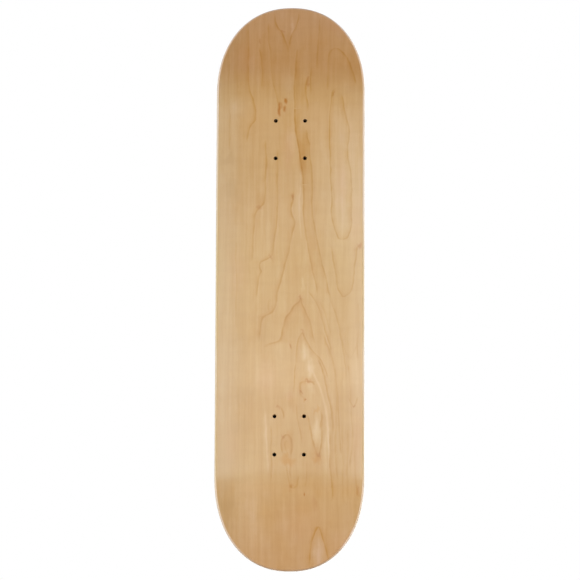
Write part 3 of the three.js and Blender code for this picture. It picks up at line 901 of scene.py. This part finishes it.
for node, bottom, top in zip(LAYERS, LEVELS, LEVELS[1:]):
    piece = add_object(f"pressed_{node}", layer_mesh(f"pressed_{node}", bottom, top))
    piece.data.materials.append(MATERIALS.get(node) or MATERIALS[SLOTS[node]])
    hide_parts(node)
    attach(piece, "root")


# The camera looks up at the underside, the nose at the top of the picture and a little farther away
PICTURE_SIDE = 580  # pixels
SENSOR_WIDTH = 36  # mm
CAMERA_DISTANCE = 6.533
CLIP_END = 100
PIXELS_PER_METRE = 712.6  # at the middle of the board
TILT = math.radians(10.39)
SWAY = math.radians(1.674)
ROLL = math.radians(0.221)
CENTRE_PIXEL = (289.78, 286.58)  # where the middle of the board lies in the picture


def set_camera():
    """Makes the camera and sets it, from the place of the board in the picture."""
    right = Vector((0, math.cos(SWAY), math.sin(SWAY)))
    up = Vector((math.cos(TILT), math.sin(TILT) * math.sin(SWAY), -math.sin(TILT) * math.cos(SWAY)))
    ahead = up.cross(right)
    rolled_right = right * math.cos(ROLL) + up * math.sin(ROLL)
    rolled_up = up * math.cos(ROLL) - right * math.sin(ROLL)
    across = (PICTURE_SIDE / 2 - CENTRE_PIXEL[0]) / PIXELS_PER_METRE
    above = (CENTRE_PIXEL[1] - PICTURE_SIDE / 2) / PIXELS_PER_METRE
    place = rolled_right * across + rolled_up * above - ahead * CAMERA_DISTANCE
    data = bpy.data.cameras.new("camera")
    data.sensor_width = SENSOR_WIDTH
    data.lens = SENSOR_WIDTH * PIXELS_PER_METRE * CAMERA_DISTANCE / PICTURE_SIDE
    data.clip_end = CLIP_END
    camera = add_object("camera", data)
    camera.matrix_world = Matrix.Translation(place) @ Matrix(
        (rolled_right, rolled_up, -ahead)).transposed().to_4x4()
    bpy.context.scene.camera = camera


# Soft lamps: the place, the point that it faces, the size across the board and along it, and the brightness.
# The lacquer mirrors the ones below the deck; the ones at its sides and ends only light the wood.
PANELS_BELOW = {
    "front_panel": ((-0.01, 0, -1.3), (-0.01, 0, 0), (1.0, 0.82), 1.55),
    "front_tail_panel": ((-0.53, 0, -1.3), (-0.53, 0, 0), (1.4, 0.22), 0.65),
    "front_right_panel": ((-0.01, 0.8, -1.25), (-0.01, 0.1, 0), (0.55, 0.9), 2.5),
    "front_left_panel": ((-0.01, -0.8, -1.25), (-0.01, -0.1, 0), (0.55, 0.9), 2.4),
}
PANELS_AROUND = {
    "right_panel": ((-0.1, 1.5, -0.62), (-0.1, 0, 0), (1.1, 1.6), 2.3),
    "left_panel": ((-0.1, -1.5, -0.62), (-0.1, 0, 0), (1.1, 1.6), 3.1),
    "nose_panel": ((2.5, 0, -0.4), (0.3, 0, 0), (3.6, 0.6), 3.0),
    "tail_panel": ((-2.1, 0, -1.2), (-0.2, 0, 0), (3.2, 0.8), 2.9),
}
SKY_BRIGHTNESS = 0.8
SKY_WIDTH = math.radians(70)
SKY_TURN = (math.radians(-14), math.radians(-10), 0)


def panel(name, place, aim, size, brightness):
    """A soft lamp at a place, facing a point."""
    data = bpy.data.lights.new(name, "AREA")
    data.shape = "RECTANGLE"
    data.size, data.size_y = size
    data.energy = brightness * math.pi * size[0] * size[1]
    back = (Vector(place) - Vector(aim)).normalized()
    along = (Vector((1, 0, 0)) - back * back.x).normalized()
    turn = Matrix((along.cross(back), along, back)).transposed().to_4x4()
    lamp = add_object(name, data)
    lamp.matrix_world = Matrix.Translation(place) @ turn
    lamp.visible_camera = False
    return lamp


def set_lights():
    """Soft panels below and around the deck for its underside, and a wide even sky for the standing face."""
    for name, row in PANELS_BELOW.items():
        panel(name, *row)
    for name, row in PANELS_AROUND.items():
        panel(name, *row).visible_glossy = False
    sky = bpy.data.lights.new("light_from_above", "SUN")
    sky.energy = SKY_BRIGHTNESS * math.pi
    sky.angle = SKY_WIDTH
    add_object("light_from_above", sky).rotation_euler = SKY_TURN


def set_room():
    """A room that is white where it is seen or mirrored, and gives matt surfaces a little light."""
    tree = NodeTree("room", of_world=True)
    rays = tree.node("ShaderNodeLightPath").outputs
    seen = most(tree, [rays["Is Camera Ray"], rays["Is Glossy Ray"], rays["Is Transmission Ray"]])
    strength = tree.ramp(seen, 0.0, 1.0, ROOM_LIGHT, 1.0, smooth=False)
    background = tree.node("ShaderNodeBackground", {"Color": (1, 1, 1, 1), "Strength": strength})
    bpy.context.scene.world = tree.ends_in(background)


FLOOR_HALF_SIDE, FLOOR_HEIGHT = 30, -0.2 * MM
FLOOR_COLOUR = (0.9, 0.9, 0.9, 1)
OWN_LIGHT_SHARE, OWN_LIGHT = 0.55, 0.84  # of the floor, and how bright that share is
OCCLUSION_REACH = 0.35  # how near the deck darkens it
CLOTH_HALF_SIDE, CLOTH_HEIGHT = 6, -2.6
DARK_MATT_COLOUR = (0.015, 0.012, 0.01, 1)
SHADE_DEPTH = 0.3 * MM  # under the standing face
SHADE_OVERLAP = 0.1 * MM


def one_sided(tree, surface, side, *rays):
    """A material that shows only on one side, and there only to the named kinds of rays, or to all."""
    path = tree.node("ShaderNodeLightPath")
    shown = tree.node("ShaderNodeNewGeometry").outputs["Backfacing"]
    if side == "front":
        shown = tree.math("SUBTRACT", 1.0, shown)
    if rays:
        shown = tree.times(shown, most(tree, [path.outputs[ray] for ray in rays]))
    clear = tree.node("ShaderNodeBsdfTransparent")
    return tree.ends_in(tree.node("ShaderNodeMixShader", {
        0: shown, 1: clear.outputs[0], 2: surface.outputs[0]}))


def dark_matt(name, side, *rays):
    """Black matt surface: the dark cloth below the lamps, and the painted shade in the holes."""
    tree = NodeTree(name)
    dark_diffuse = tree.node("ShaderNodeBsdfDiffuse", {"Color": DARK_MATT_COLOUR})
    return one_sided(tree, dark_diffuse, side, *rays)


def pale_floor(name):
    """Pale paper, partly lit by lamps and partly glowing so that it stays even, with painted shadow near the
    deck.
    """
    tree = NodeTree(name)
    matt = tree.node("ShaderNodeBsdfDiffuse", {"Color": FLOOR_COLOUR})
    # The glow dims where the deck is near: a painted shadow
    painted_shadow = tree.node("ShaderNodeAmbientOcclusion", {"Distance": OCCLUSION_REACH}, samples=8)
    strength = tree.ramp(painted_shadow.outputs["AO"], 0, 1, 0, OWN_LIGHT, smooth=False)
    even = tree.node("ShaderNodeEmission", {"Color": (1, 1, 1, 1), "Strength": strength})
    surface = tree.node("ShaderNodeMixShader", {0: OWN_LIGHT_SHARE, 1: matt.outputs[0], 2: even.outputs[0]})
    return one_sided(tree, surface, "front", "Is Camera Ray", "Is Transmission Ray")


def stage_piece(name, points, faces, material):
    """A flat piece of the stage."""
    mesh = bpy.data.meshes.new(name)
    mesh.from_pydata(points, [], faces)
    mesh.materials.append(material)
    add_object(name, mesh)


def square(half_side, height):
    """The corners of a level square, anticlockwise from above."""
    return [(x * half_side, y * half_side, height) for x, y in ((-1, -1), (1, -1), (1, 1), (-1, 1))]


def set_stage():
    """A pale floor for the views from above, the shade in the holes, and dark cloth below the lamps.

    In the photo the holes show only shade, and the bent ends mirror a dark part of the studio. The floor is
    clear from below, so that the underside can be seen, and the shade is clear from above.
    """
    floor = square(FLOOR_HALF_SIDE, FLOOR_HEIGHT)
    stage_piece("floor", floor, [range(4)], pale_floor("pale_floor"))
    # Dark discs just under the standing face: painted shade, seen through the holes from below
    discs = [circle_points(x, y, THICKNESS - SHADE_DEPTH, HOLE_RADIUS + SHADE_OVERLAP) for x, y in HOLES]
    faces = [range(i * CELL_SIDES, (i + 1) * CELL_SIDES) for i in range(len(HOLES))]
    stage_piece("shade_in_holes", np.concatenate(discs).tolist(), faces, dark_matt("shade", "back"))
    dark_diffuse = dark_matt("dark_matt", "front", "Is Glossy Ray")
    stage_piece("cloth_below_lamps", square(CLOTH_HALF_SIDE, CLOTH_HEIGHT), [range(4)], dark_diffuse)


set_camera()
set_lights()
set_room()
set_stage()
bpy.context.scene.view_settings.view_transform = "Standard"
